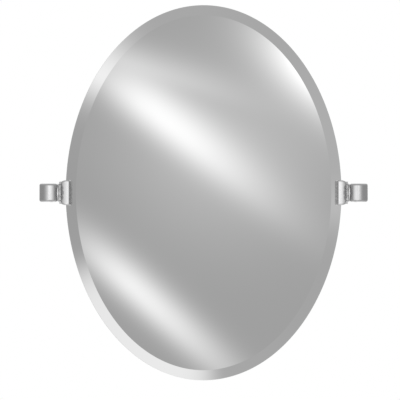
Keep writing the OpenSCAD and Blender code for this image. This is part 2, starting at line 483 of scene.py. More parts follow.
@dataclass(frozen=True)
class BrightSteel(Finish):
    """Bare rolled steel, as on threads and springs."""

    def paint(self, graph: Graph) -> None:
        """Fills the material's node tree.

        Args:
            graph: The material's node tree.
        """
        lines = graph.noise(0.3 * MM, detail=3.0, stretch=(0.1, 1.0, 1.0))
        stain = graph.noise(5 * MM, detail=4.0).step(0.5, 0.85)
        graph.surface(
            Base_Color=graph.tint(stain, (0.56, 0.555, 0.55), (0.40, 0.385, 0.37)),
            Metallic=1.0,
            Roughness=lines * 0.12 + stain * 0.12 + 0.2,
            Normal=graph.bump(lines, 0.004 * MM),
        )


@dataclass(frozen=True)
class Nylon(Finish):
    """Natural nylon with flow marks."""

    def paint(self, graph: Graph) -> None:
        """Fills the material's node tree.

        Args:
            graph: The material's node tree.
        """
        flow = graph.noise(5 * MM, detail=3.0, stretch=(1.0, 0.3, 1.0))
        grain = graph.noise(0.2 * MM)
        graph.surface(
            Base_Color=graph.tint(flow, (0.74, 0.73, 0.70), (0.84, 0.835, 0.81)),
            Roughness=grain * 0.15 + 0.36,
            IOR=1.53,
            Normal=graph.bump(grain, 0.005 * MM),
        )


@dataclass(frozen=True)
class Vinyl(Finish):
    """Soft vinyl with a fine grain and a bloom of dust. Its tone is partly painted shade: on the gasket's
    leg past the clamp's lip it stands for the shade beside the lip.
    """

    # Tone of the gasket's leg past the lip, set to stand for the shade beside the lip: painted shade.
    level: float = 0.36

    def paint(self, graph: Graph) -> None:
        """Fills the material's node tree.

        Args:
            graph: The material's node tree.
        """
        grain = graph.cells(0.35 * MM)
        bloom = graph.noise(4 * MM, detail=4.0).step(0.4, 0.8)
        dark, pale = self.level * 0.85, self.level * 1.25
        graph.surface(
            Base_Color=graph.tint(bloom, (dark, dark, dark), (pale, pale, pale)),
            Roughness=bloom * 0.12 + 0.5,
            Normal=graph.bump(grain, 0.02 * MM),
        )


@dataclass(frozen=True)
class PaleFloor(Finish):
    """Matt pale paint that fades into the white background at its rim."""

    inner: float = 0.7
    outer: float = 1.2

    def paint(self, graph: Graph) -> None:
        """Fills the material's node tree.

        Args:
            graph: The material's node tree.
        """
        x, y, _ = graph.axes(graph.place())
        cloud = graph.noise(0.2, detail=3.0)
        paint = graph.node(
            "ShaderNodeBsdfDiffuse",
            inputs={"Color": graph.tint(cloud, (0.86, 0.86, 0.86), (0.90, 0.90, 0.90))},
        )
        clear = graph.node("ShaderNodeBsdfTransparent")
        rim = (x * x + y * y).root().step(self.inner, self.outer)
        mixed = graph.node("ShaderNodeMixShader", inputs={0: rim, 1: paint, 2: clear})
        graph.add("ShaderNodeOutputMaterial", inputs={"Surface": mixed})


GROUND_EDGE = GroundEdge("ground_edge")
SLOT_FINISHES: dict[str, Finish] = {
    "mirror_face": SilveredGlass("silvered_glass"),
    "safety_film": WovenFilm("woven_film"),
    "arm_chrome": Chrome("arm_chrome_plate"),
    "collar_chrome": TurnedChrome("collar_chrome_plate", level=0.66, roughness=0.15),
    "wheel_chrome": TurnedChrome("wheel_chrome_plate", level=0.78, roughness=0.3),
    "clamp_chrome": Chrome("clamp_chrome_plate", roughness=0.08, buffed=(1.0, 1.0, 0.06)),
    "zinc_plate": ZincPlate("dull_zinc_plate"),
    "black_screw": BlackOxide("black_oxide"),
    "stud_steel": BrightSteel("rolled_steel"),
    "nylon": Nylon("natural_nylon"),
    "gasket_vinyl": Vinyl("dark_vinyl"),
}


# ---------------------------------------------------------------- modelling


@dataclass(frozen=True)
class Spindle:
    """An axis that turned pieces are made round.

    Attributes:
        origin: A point on the axis.
        along: Its direction.
        side: A direction square to it.
    """

    origin: Vector
    along: Vector
    side: Vector

    def point(self, run: float, radius: float) -> Vector:
        """The point at a distance along the axis and a radius from it."""
        return self.origin + self.along * run + self.side * radius


# The tilt axis, measured from the middle of the glass towards the right.
TILT = Spindle(TILT_AXIS, RIGHT, UP)


@dataclass(frozen=True)
class Box:
    """A box between two corners, such as the space that a CAD node takes up at rest."""

    low: Vector
    high: Vector

    @classmethod
    def of(cls, node: str) -> Self:
        """The box of a CAD node."""
        return cls(*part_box(node))

    @property
    def middle(self) -> Vector:
        """The point halfway between its corners."""
        return (self.low + self.high) / 2

    @property
    def width(self) -> float:
        """Its size along X."""
        return self.high.x - self.low.x

    @property
    def depth(self) -> float:
        """Its size along Y."""
        return self.high.y - self.low.y

    @property
    def height(self) -> float:
        """Its size along Z."""
        return self.high.z - self.low.z


def arc(centre: Pair, radius: float, start: float, end: float, steps: int) -> list[Pair]:
    """Points of an arc in a profile, from one angle to another in degrees."""
    angles = [math.radians(start + (end - start) * i / steps) for i in range(steps + 1)]
    return [(centre[0] + radius * math.cos(a), centre[1] + radius * math.sin(a)) for a in angles]


@dataclass(frozen=True)
class ThreadForm:
    """The shape of every screw thread. Lengths are in pitches.

    Attributes:
        depth: From its crests to its roots.
        crest: Where along a turn its flat crest starts and ends.
        lead_in: How far ahead of the screw its first turn starts.
        spare_turns: Turns beyond the screw's length.
        steps: Number of faces in a turn.
    """

    depth: float = 0.6
    crest: Pair = (0.40, 0.60)
    lead_in: float = 1.513
    spare_turns: int = 3
    steps: int = 36

    def profile(self, radius: float, pitch: float) -> list[Pair]:
        """The (distance, radius) points of one turn.

        Args:
            radius: Radius at the crests.
            pitch: Distance between turns.

        Returns:
            The points.
        """
        root = radius - self.depth * pitch
        shares = ((0.0, root), (self.crest[0], radius), (self.crest[1], radius), (1.0, root))
        return [(share * pitch, r) for share, r in shares]


THREAD = ThreadForm()


class Mode(Enum):
    """What a boolean cut does."""

    TAKE_AWAY = "DIFFERENCE"
    ADD = "UNION"
    KEEP_COMMON = "INTERSECT"


class Workpiece:
    """A mesh on the bench. Operators shape it in edit mode, on faces and edges picked by place."""

    def __init__(self, name: str) -> None:
        """Takes the object that a primitive has just added, with its place put into its mesh.

        Args:
            name: The piece's name.
        """
        bpy.ops.object.transform_apply(location=True, rotation=True, scale=True)
        self.obj = bpy.context.active_object
        self.obj.name = self.obj.data.name = name
        self._kind = "VERT"

    @staticmethod
    def clear_bench() -> None:
        """Deselects everything, so that the next operator acts on the new piece alone."""
        bpy.ops.object.select_all(action="DESELECT")

    @classmethod
    def block(cls, name: str, box: Box) -> Self:
        """A block that fills a box.

        Args:
            name: The piece's name.
            box: The box.

        Returns:
            The block.
        """
        cls.clear_bench()
        bpy.ops.mesh.primitive_cube_add(size=1, location=box.middle, scale=box.high - box.low)
        return cls(name)

    @classmethod
    def bar(cls, name: str, spindle: Spindle, ends: Pair, radius: float, sides: int) -> Self:
        """A round or polygonal bar along a spindle, between two distances.

        Args:
            name: The piece's name.
            spindle: Its axis.
            ends: Where it starts and ends along the axis.
            radius: Its radius, out to its corners.
            sides: Number of faces round it.

        Returns:
            The bar.
        """
        cls.clear_bench()
        start, end = ends
        turn = spindle.along.to_track_quat("Z", "Y").to_euler()
        middle = spindle.point((start + end) / 2, 0)
        bpy.ops.mesh.primitive_cylinder_add(
            vertices=sides, radius=radius, depth=end - start, location=middle, rotation=turn
        )
        return cls(name)

    @classmethod
    def outline(
        cls, name: str, points: Sequence[Vector], closed: bool = True, filled: bool = False
    ) -> Self:
        """A line through points: a plane merged to one point, then extruded from point to point.

        Args:
            name: The piece's name.
            points: The points, in order.
            closed: Whether the last point is joined to the first.
            filled: Whether the outline becomes a face.

        Returns:
            The outline.
        """
        cls.clear_bench()
        bpy.ops.mesh.primitive_plane_add(size=MM, location=points[0])
        piece = cls(name)
        with piece.edit("VERT"):
            bpy.ops.mesh.merge(type="CENTER")
            for here, there in zip(points, points[1:]):
                bpy.ops.mesh.extrude_vertices_move(TRANSFORM_OT_translate={"value": there - here})
            bpy.ops.mesh.select_all(action="SELECT")
            if filled:
                bpy.ops.mesh.edge_face_add()
        if closed and not filled:
            piece.pick_points(lambda p: (p - points[0]).length < TINY or (p - points[-1]).length < TINY)
            piece.operate(bpy.ops.mesh.edge_face_add)
        return piece

    @classmethod
    def turned(
        cls, name: str, spindle: Spindle, profile: Sequence[Pair], closed: bool = True, steps: int = 96
    ) -> Self:
        """A profile of (distance, radius) points spun round a spindle.

        Args:
            name: The piece's name.
            spindle: The axis.
            profile: The profile's points. An open profile starts and ends on the axis.
            closed: Whether the profile is a closed ring.
            steps: Number of faces round the axis.

        Returns:
            The turned piece.
        """
        piece = cls.outline(name, [spindle.point(run, radius) for run, radius in profile], closed)
        piece.pick_all()
        piece.operate(
            bpy.ops.mesh.spin, steps=steps, angle=2 * math.pi, center=spindle.origin, axis=spindle.along
        )
        piece.tidy()
        return piece

    @classmethod
    def thread(cls, name: str, spindle: Spindle, length: float, radius: float, pitch: float) -> Self:
        """A solid screw thread. It runs on past both its ends, ready to be cut to length.

        Args:
            name: The piece's name.
            spindle: Its axis.
            length: How far along the axis it is whole.
            radius: Radius at its crests.
            pitch: Distance between turns.

        Returns:
            The threaded bar.
        """
        centred = Spindle(Vector((0, 0, 0)), spindle.along, spindle.side)
        points = [centred.point(run, r) for run, r in THREAD.profile(radius, pitch)]
        piece = cls.outline(name, points, closed=False)
        screw = piece.obj.modifiers.new("thread", "SCREW")
        screw.axis = "XYZ"[max(range(3), key=lambda i: abs(spindle.along[i]))]
        screw.screw_offset = pitch * sum(spindle.along)
        screw.iterations = math.ceil(length / pitch) + THREAD.spare_turns
        screw.steps = screw.render_steps = THREAD.steps
        screw.use_merge_vertices = True
        screw.merge_threshold = TINY
        piece.apply_modifier(screw)
        piece.pick_all()
        piece.operate(bpy.ops.transform.translate, value=spindle.point(-THREAD.lead_in * pitch, 0))
        piece.tidy()
        piece.cap()
        return piece

    def hold(self) -> None:
        """Makes this the one selected and active object."""
        self.clear_bench()
        self.obj.select_set(True)
        bpy.context.view_layer.objects.active = self.obj

    @contextmanager
    def edit(self, kind: str) -> Iterator[bmesh.types.BMesh]:
        """Edit mode, with "VERT", "EDGE" or "FACE" as what is selected.

        Args:
            kind: What is selected.

        Yields:
            The mesh under edit.
        """
        self.hold()
        bpy.ops.object.mode_set(mode="EDIT")
        bpy.ops.mesh.select_mode(type=kind)
        yield bmesh.from_edit_mesh(self.obj.data)
        bpy.ops.object.mode_set(mode="OBJECT")

    def _pick(self, kind: str, chosen: Callable[[bmesh.types.BMesh], list]) -> None:
        """Selects what a function chooses, and nothing else.

        Args:
            kind: "VERT", "EDGE" or "FACE".
            chosen: Gives what it chooses of the mesh.
        """
        with self.edit(kind) as mesh:
            bpy.ops.mesh.select_all(action="DESELECT")
            for item in chosen(mesh):
                item.select_set(True)
            mesh.select_flush_mode()
            bmesh.update_edit_mesh(self.obj.data)
        self._kind = kind

    def pick_all(self) -> None:
        """Selects the whole mesh."""
        self._pick("VERT", lambda mesh: list(mesh.verts))

    def pick_points(self, test: Callable[[Vector], bool]) -> None:
        """Selects points by place."""
        self._pick("VERT", lambda mesh: [v for v in mesh.verts if test(v.co)])

    def pick_faces(self, test: Callable[[Vector], bool] = lambda normal: True) -> None:
        """Selects faces by normal, or every face."""
        self._pick("FACE", lambda mesh: [f for f in mesh.faces if test(f.normal)])

    def pick_edges(self, test: Callable[[Vector, Vector], bool], sharper: float = 0.0) -> None:
        """Selects edges by their ends, among those whose faces meet at more than an angle in degrees.

        Args:
            test: Says of an edge's two ends whether it is wanted.
            sharper: That angle. At 0, any edge that passes the test is selected.
        """
        least = math.radians(sharper)
        self._pick(
            "EDGE",
            lambda mesh: [
                e
                for e in mesh.edges
                if test(e.verts[0].co, e.verts[1].co) and (not least or e.calc_face_angle(0.0) > least)
            ],
        )

    def operate(self, operator: Callable, **options: object) -> None:
        """Runs one edit-mode operator on what is selected."""
        with self.edit(self._kind):
            operator(**options)

    def extrude(self, step: Vector) -> None:
        """Extrudes the selected faces by a step, and leaves the new ones selected."""
        self.operate(bpy.ops.mesh.extrude_region_move, TRANSFORM_OT_translate={"value": step})

    def move(self, step: Triple | Vector) -> None:
        """Moves what is selected by a step."""
        self.operate(bpy.ops.transform.translate, value=step)

    def scale(self, factors: Triple, centre: Vector) -> None:
        """Scales what is selected about a point."""
        self.operate(bpy.ops.transform.resize, value=factors, center_override=centre)

    def round_edges(self, radius: float, segments: int) -> None:
        """Rounds the selected edges.

        Args:
            radius: Radius of the round.
            segments: Number of strips in it.
        """
        self.operate(
            bpy.ops.mesh.bevel, offset=radius, segments=segments, affect="EDGES", clamp_overlap=True
        )

    def cap(self) -> None:
        """Closes each open end with faces that meet at its middle."""
        self.pick_all()
        self.operate(bpy.ops.mesh.fill_holes, sides=0)
        self._pick("FACE", lambda mesh: [f for f in mesh.faces if len(f.verts) > 4])
        self.operate(bpy.ops.mesh.poke)
        self.tidy()

    def score(self, point: Vector, normal: Vector) -> None:
        """Adds a line of edges where a plane crosses the mesh."""
        self.pick_all()
        self.operate(bpy.ops.mesh.bisect, plane_co=point, plane_no=normal)

    def tidy(self) -> None:
        """Merges doubled points and turns every face outwards."""
        self.pick_all()
        self.operate(bpy.ops.mesh.remove_doubles, threshold=TINY)
        self.pick_all()
        self.operate(bpy.ops.mesh.normals_make_consistent, inside=False)

    def apply_modifier(self, modifier: bpy.types.Modifier) -> None:
        """Applies a modifier to the mesh."""
        self.hold()
        bpy.ops.object.modifier_apply(modifier=modifier.name)

    def combine(self, tool: "Workpiece", mode: Mode = Mode.TAKE_AWAY) -> None:
        """Cuts with another workpiece, which is used up.

        Args:
            tool: The other workpiece.
            mode: What the cut does.
        """
        cut = self.obj.modifiers.new("cut", "BOOLEAN")
        cut.operation = mode.value
        cut.solver = "EXACT"
        cut.object = tool.obj
        self.apply_modifier(cut)
        bpy.data.objects.remove(tool.obj)

    def drill(self, spindle: Spindle, ends: Pair, radius: float, sides: int = 48) -> None:
        """Cuts a round or polygonal hole along a spindle, between two distances."""
        self.combine(self.bar("drill", spindle, ends, radius, sides))

    def join(self, other: "Workpiece") -> None:
        """Makes another workpiece part of this one.

        Args:
            other: The other workpiece.
        """
        self.hold()
        other.obj.select_set(True)
        bpy.ops.object.join()

    def soften(self, width: float, angle: float = SQUARE, segments: int = 2) -> None:
        """Puts a small round on every edge sharper than an angle in degrees.

        Args:
            width: Width of the round.
            angle: That angle.
            segments: Number of strips in the round.
        """
        bevel = self.obj.modifiers.new("soften", "BEVEL")
        bevel.width = width
        bevel.segments = segments
        bevel.limit_method = "ANGLE"
        bevel.angle_limit = math.radians(angle)
        self.apply_modifier(bevel)

    def shade(self, angle: float) -> None:
        """Shades smooth across edges that are blunter than an angle in degrees. Flat faces stay flat.

        Args:
            angle: That angle.
        """
        self.hold()
        bpy.ops.object.shade_smooth_by_angle(angle=math.radians(angle))
        flat = self.obj.modifiers.new("flat", "WEIGHTED_NORMAL")
        flat.keep_sharp = True
        self.apply_modifier(flat)

    def on_the_left(self) -> "Workpiece":
        """A copy with its own mesh, mirrored to the left and named for that side.

        Returns:
            The copy.
        """
        self.hold()
        bpy.ops.object.duplicate()
        copy = Workpiece("left_" + self.obj.name.removeprefix("right_"))
        copy.pick_all()
        copy.scale((-1, 1, 1), Vector((0, 0, 0)))
        copy.pick_all()
        copy.operate(bpy.ops.mesh.normals_make_consistent, inside=False)
        return copy


def join_frame(piece: Workpiece, body: str, node: str, slot: str, smooth: float = 32.0) -> None:
    """Puts a finished piece in the frame, in place of a CAD node.

    Args:
        piece: The piece.
        body: The CAD body that it moves with.
        node: The CAD node that it stands for.
        slot: The record's material slot that it takes its finish from.
        smooth: Edges blunter than this angle in degrees are shaded smooth.
    """
    piece.shade(smooth)
    obj = piece.obj
    obj.data.materials.clear()
    obj.data.materials.append(SLOT_FINISHES[slot].material())
    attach(obj, body)
    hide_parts(node)
    log.info("%s: %d faces, on %s", obj.name, len(obj.data.polygons), body)


def join_both_sides(piece: Workpiece, body: str, node: str, slot: str) -> None:
    """Puts a right-hand piece and its left-hand copy in the frame.

    Args:
        piece: The right-hand piece.
        body: The body that they move with, with {side} where it names a side.
        node: The CAD node that they stand for, without the side.
        slot: The record's material slot.
    """
    copy = piece.on_the_left()
    for side, made in (("right", piece), ("left", copy)):
        join_frame(made, body.format(side=side), f"{side}_{node}", slot)


# ---------------------------------------------------------------- the glass


@dataclass
class MirrorPlate:
    """Bevelled oval glass with a woven film on its back.

    Attributes:
        bevel_width: Width of the bevel.
        bevel_drop: How far the bevel falls from the front face to the edge.
        arris: Width of the blunted corners of the edge.
        film_round: Radius of the film's rim.
        sides: Number of points round the oval.
        smooth: Angle in degrees up to which the glass is shaded smooth. A small one keeps its face flat.
    """

    bevel_width: float = 18 * MM
    bevel_drop: float = 2 * MM
    arris: float = 0.35 * MM
    film_round: float = 0.12 * MM
    sides: int = 256
    smooth: float = 3.0

    def __post_init__(self) -> None:
        """Reads the plate's place from the frame."""
        self.glass_box = Box.of("mirror_glass")
        self.film_box = Box.of("safety_backing")

    def oval(self, name: str, box: Box) -> Workpiece:
        """A flat oval slab that fills a box, its front face selected.

        Args:
            name: The slab's name.
            box: The box.

        Returns:
            The slab.
        """
        Workpiece.clear_bench()
        back = Vector((box.middle.x, box.high.y, box.middle.z))
        bpy.ops.mesh.primitive_circle_add(
            vertices=self.sides,
            radius=box.width / 2,
            fill_type="NGON",
            location=back,
            rotation=(math.pi / 2, 0, 0),
        )
        slab = Workpiece(name)
        slab.pick_all()
        slab.scale((1, 1, box.height / box.width), back)
        slab.pick_faces()
        slab.extrude(Vector((0, -box.depth, 0)))
        slab.tidy()
        slab.pick_faces(lambda normal: normal.y < -0.9)
        return slab

    def glass(self) -> Workpiece:
        """The glass: a slab whose front is inset by the bevel's width and stands proud of its edge.

        Returns:
            The glass.
        """
        low = self.glass_box.low
        blank = Box(Vector((low.x, low.y + self.bevel_drop, low.z)), self.glass_box.high)
        plate = self.oval("bevelled_glass", blank)
        plate.operate(bpy.ops.mesh.inset, thickness=self.bevel_width, depth=0, use_even_offset=True)
        plate.move((0, -self.bevel_drop, 0))
        plate.pick_edges(lambda a, b: True, sharper=SQUARE)
        plate.round_edges(self.arris, segments=2)
        return plate

    def film(self) -> Workpiece:
        """The safety film, with a blunt rim.

        Returns:
            The film.
        """
        sheet = self.oval("woven_safety_film", self.film_box)
        sheet.pick_edges(lambda a, b: min(a.y, b.y) > self.film_box.high.y - TINY, sharper=SQUARE)
        sheet.round_edges(self.film_round, segments=2)
        return sheet

    def build(self) -> None:
        """Builds the glass and its film. The rim of the glass is ground, and the rest silvered."""
        plate = self.glass()
        join_frame(plate, "mirror", "mirror_glass", "mirror_face", self.smooth)
        plate.obj.data.materials.append(GROUND_EDGE.material())
        rim_front = self.glass_box.low.y + self.bevel_drop + self.arris / 4
        for face in plate.obj.data.polygons:
            face.material_index = int(face.center.y > rim_front)
        join_frame(self.film(), "mirror", "safety_backing", "safety_film")


# ---------------------------------------------------------------- the wall arms


@dataclass
class WallArm:
    """A hollow square arm on its wall plate, with a crowned nose and a bright collar.

    Attributes:
        wall: Thickness of the arm's walls.
        crown_radius: Radius of the nose, seen from above.
        crown_margin: What the nose's strips leave free at each side, in radii of the outer edges.
        edge_radius: Radius of the arm's outer edges.
        hollow_radius: Radius in the corners of the hollow.
        nose_thickness: Thickness of the nose at its middle.
        columns: Number of strips across the nose.
        bush_radius: Outer radius of the nylon bush, which the collar's bore fits.
        spigot_radius: Radius of the collar's spigot, which the arm's bore fits.
        collar_round: Radius along the collar's rim.
        screw_radius: Radius of the wall plate's screw holes.
        screw_pitch: Distance between them.
        countersink: How much wider than its hole a countersink is, in radius.
        plate_round: Radius of the wall plate's corners.
        cut_round: Radius put on the edges that are still square.
        grub_bore: Where the grub screw's hole starts and ends, from the screw's tip.
        grub_pitch: Pitch of the grub screw's thread.
        seat_gap: How much wider than the grub screw its seat in the wall plate is, in radius.
        seat_depth: Depth of that seat.
    """

    wall: float = 3 * MM
    crown_radius: float = 24 * MM
    crown_margin: float = 1.2
    edge_radius: float = 3.4 * MM
    hollow_radius: float = 1.5 * MM
    nose_thickness: float = 7 * MM
    columns: int = 22
    bush_radius: float = 5.6 * MM
    spigot_radius: float = 8 * MM
    collar_round: float = 0.25 * MM
    screw_radius: float = 2.4 * MM
    screw_pitch: float = 14 * MM
    countersink: float = 2.2 * MM
    plate_round: float = 1.4 * MM
    cut_round: float = 0.3 * MM
    grub_bore: Pair = (0.5 * MM, 8 * MM)
    grub_pitch: float = 0.8 * MM
    seat_gap: float = 0.1 * MM
    seat_depth: float = 4 * MM

    def __post_init__(self) -> None:
        """Reads the places of the arm and what it carries from the frame."""
        self.arm_box = Box.of("right_arm")
        self.collar_box = Box.of("right_collar")
        self.plate_box = Box.of("right_wall_plate")
        self.grub_box = Box.of("right_grub_screw")

    def crown_drop(self, x: float) -> float:
        """How far the crown has fallen back at x."""
        return self.crown_radius - math.sqrt(self.crown_radius**2 - (x - self.arm_box.middle.x) ** 2)

    def shell(self) -> Workpiece:
        """The arm: a box whose front is drawn into a crown, rounded, then hollowed and drilled.

        Returns:
            The arm.
        """
        low, high = self.arm_box.low, self.arm_box.high
        arm = Workpiece.block("right_arm_shell", self.arm_box)
        half = self.arm_box.width / 2 - self.crown_margin * self.edge_radius
        lines = [self.arm_box.middle.x + half * (2 * i / self.columns - 1) for i in range(self.columns + 1)]
        for x in lines:
            arm.score(Vector((x, 0, 0)), RIGHT)
        for x in (low.x, *lines, high.x):
            arm.pick_points(lambda p: abs(p.x - x) < NEAR and p.y < low.y + TINY)
            arm.move((0, self.crown_drop(x), 0))
        arm.pick_edges(lambda a, b: min(a.y, b.y) < high.y - TINY, sharper=30)
        arm.round_edges(self.edge_radius, segments=6)
        arm.combine(self.hollow())
        arm.soften(self.cut_round)
        arm.drill(self.grub_spindle(), self.grub_bore, self.grub_box.width / 2)
        arm.drill(TILT, (low.x - OVERCUT, low.x + 2 * self.wall), self.spigot_radius, 64)
        return arm

    def hollow(self) -> Workpiece:
        """A cutter for what is inside the arm, which is open at the wall.

        Returns:
            The cutter.
        """
        low, high = self.arm_box.low, self.arm_box.high
        inset = Vector((self.wall, 0, self.wall))
        front = Vector((low.x, low.y + self.nose_thickness, low.z)) + inset
        back = Vector((high.x, high.y + OVERCUT, high.z)) - inset
        core = Workpiece.block("hollow_cutter", Box(front, back))
        core.pick_edges(lambda a, b: abs(a.y - b.y) > MM)
        core.round_edges(self.hollow_radius, segments=4)
        return core

    def grub_spindle(self) -> Spindle:
        """The grub screw's axis, from its tip down through the arm's underside."""
        middle = self.grub_box.middle
        return Spindle(Vector((middle.x, middle.y, self.grub_box.high.z)), DOWN, RIGHT)

    def grub_screw(self) -> Workpiece:
        """The grub screw that fixes the arm to its wall plate."""
        kind = SocketScrew(self.grub_box.width / 2, self.grub_box.height, self.grub_pitch)
        return kind.build("right_socket_grub", self.grub_spindle())

    def collar(self) -> Workpiece:
        """The bright collar: a flange with a rounded rim, and the spigot through the arm's wall.

        Returns:
            The collar.
        """
        start, end, tip = self.collar_box.low.x, self.arm_box.low.x, self.collar_box.high.x
        rim, r = self.collar_box.height / 2, self.collar_round
        profile = [
            (start, self.bush_radius),
            *arc((start + r, rim - r), r, 180, 90, 5),
            *arc((end - r, rim - r), r, 90, 0, 5),
            (end, self.spigot_radius),
            (tip, self.spigot_radius),
            (tip, self.bush_radius),
        ]
        return Workpiece.turned("right_bright_collar", TILT, profile)

    def wall_plate(self) -> Workpiece:
        """The plate in the arm's back end: rounded, drilled, countersunk and seated for the grub screw.

        Returns:
            The plate.
        """
        plate = Workpiece.block("right_countersunk_plate", self.plate_box)
        plate.pick_edges(lambda a, b: abs(a.y - b.y) > MM)
        plate.round_edges(self.plate_round, segments=5)
        plate.soften(self.cut_round)
        for z in (-self.screw_pitch / 2, self.screw_pitch / 2):
            plate.combine(self.screw_bore(z))
        plate.drill(self.grub_spindle(), (0.0, self.seat_depth), self.grub_box.width / 2 + self.seat_gap)
        return plate

    def screw_bore(self, z: float) -> Workpiece:
        """A cutter for one countersunk screw hole.

        Args:
            z: Height of the hole above or below the tilt axis.

        Returns:
            The cutter.
        """
        spindle = Spindle(Vector((self.arm_box.middle.x, 0, z)), OUT_OF_WALL, RIGHT)
        face = self.plate_box.depth
        narrow, wide = self.screw_radius, self.screw_radius + self.countersink
        profile = [
            (-OVERCUT, 0), (-OVERCUT, narrow), (face - self.countersink, narrow),
            (face, wide), (face + OVERCUT, wide + OVERCUT), (face + OVERCUT, 0),
        ]
        return Workpiece.turned("countersink_cutter", spindle, profile, closed=False, steps=48)

    def build(self) -> None:
        """Builds both arms, with their collars, wall plates and grub screws."""
        join_both_sides(self.shell(), "wall_brackets", "arm", "arm_chrome")
        join_both_sides(self.collar(), "wall_brackets", "collar", "collar_chrome")
        join_both_sides(self.wall_plate(), "wall_brackets", "wall_plate", "zinc_plate")
        join_both_sides(self.grub_screw(), "wall_brackets", "grub_screw", "black_screw")


# ---------------------------------------------------------------- the tilt joint


@dataclass
class SocketScrew:
    """A threaded screw with no head: a chamfered tip and a hexagon socket.

    Attributes:
        radius: Its outer radius.
        length: Its length.
        pitch: Distance between the thread's turns.
        shank: The plain stretch of its length, as a start and an end, or none.
        relief: How much thinner the plain stretch is than the thread, in radius.
        chamfer: Width of the chamfers at its ends, in pitches.
        steps: Number of faces round it where it has no thread.
    """

    radius: float
    length: float
    pitch: float
    shank: Pair | None = None
    relief: float = 0.04 * MM
    chamfer: float = 0.75
    steps: int = 72

    def build(self, name: str, spindle: Spindle) -> Workpiece:
        """Makes the screw.

        Args:
            name: The piece's name.
            spindle: Its axis, from the tip. The socket is at the other end.

        Returns:
            The screw.
        """
        screw = Workpiece.thread(name, spindle, self.length, self.radius, self.pitch)
        if self.shank is not None:
            plain = Workpiece.bar("shank", spindle, self.shank, self.radius - self.relief, self.steps)
            screw.combine(plain, Mode.ADD)
        chamfer, rim = self.chamfer * self.pitch, self.radius + self.relief
        profile = [
            (0, 0), (0, rim - chamfer), (chamfer, rim),
            (self.length - chamfer, rim), (self.length, rim - chamfer), (self.length, 0),
        ]
        blank = Workpiece.turned("blank", spindle, profile, closed=False, steps=self.steps)
        screw.combine(blank, Mode.KEEP_COMMON)
        screw.tidy()
        across_corners = self.radius / 2 / math.cos(math.pi / 6)
        screw.drill(spindle, (self.length - self.radius, self.length + OVERCUT), across_corners, sides=6)
        screw.tidy()
        return screw


@dataclass
class TiltJoint:
    """The toothed tension wheel and the pivot stud.

    Attributes:
        teeth: Number of teeth.
        gap_radius: Radius of the round gaps between them.
        gap_inset: Distance from the wheel's rim in to the centres of the gaps.
        bore: Radius of the wheel's bore.
        edge: Radius along all the wheel's edges.
        pitch: Pitch of the stud's thread.
        bearing_end: Where the stud's plain bearing ends, from its start.
    """

    teeth: int = 12
    gap_radius: float = 2.3 * MM
    gap_inset: float = 1.5 * MM
    bore: float = 4.05 * MM
    edge: float = 0.4 * MM
    pitch: float = 1.25 * MM
    bearing_end: float = 18 * MM

    def __post_init__(self) -> None:
        """Reads the places of the wheel and the stud from the frame."""
        self.wheel_box = Box.of("right_tension_wheel")
        self.stud_box = Box.of("right_pivot_stud")

    def wheel(self) -> Workpiece:
        """The wheel: a disc with its bore and the gaps between its teeth cut out, and its edges rounded.

        Returns:
            The wheel.
        """
        rim = self.wheel_box.height / 2
        through = (self.wheel_box.low.x - OVERCUT, self.wheel_box.high.x + OVERCUT)
        faces = (self.wheel_box.low.x, self.wheel_box.high.x)
        disc = Workpiece.bar("right_toothed_wheel", TILT, faces, rim, sides=144)
        disc.drill(TILT, through, self.bore, 96)
        disc.combine(self.gaps(through, rim - self.gap_inset))
        disc.soften(self.edge, angle=50, segments=3)
        return disc

    def gaps(self, ends: Pair, ring_radius: float) -> Workpiece:
        """A ring of cutters, one for each gap. A tooth points at the viewer.

        Args:
            ends: Where the cutters start and end along the tilt axis.
            ring_radius: Distance of their centres from that axis.

        Returns:
            The cutters, as one workpiece.
        """
        half_step = math.pi / self.teeth
        out = Vector((0, -math.cos(half_step), math.sin(half_step)))
        first = Spindle(TILT.origin + out * ring_radius, TILT.along, TILT.side)
        ring = Workpiece.bar("gap_cutters", first, ends, self.gap_radius, sides=32)
        ring.pick_all()
        turned = 2 * math.pi * (self.teeth - 1) / self.teeth
        options = {"center": TILT.origin, "axis": TILT.along, "angle": turned}
        ring.operate(bpy.ops.mesh.spin, steps=self.teeth - 1, dupli=True, **options)
        return ring

    def stud(self) -> Workpiece:
        """The pivot stud, threaded at both ends round a plain bearing.

        Returns:
            The stud.
        """
        spindle = Spindle(TILT.point(self.stud_box.low.x, 0), TILT.along, TILT.side)
        bearing = (self.wheel_box.low.x - self.stud_box.low.x, self.bearing_end)
        kind = SocketScrew(self.stud_box.height / 2, self.stud_box.width, self.pitch, bearing)
        return kind.build("right_threaded_stud", spindle)

    def build(self) -> None:
        """Builds both wheels and studs."""
        join_both_sides(self.wheel(), "{side}_wheel", "tension_wheel", "wheel_chrome")
        join_both_sides(self.stud(), "mirror", "pivot_stud", "stud_steel")


# ---------------------------------------------------------------- the clamps


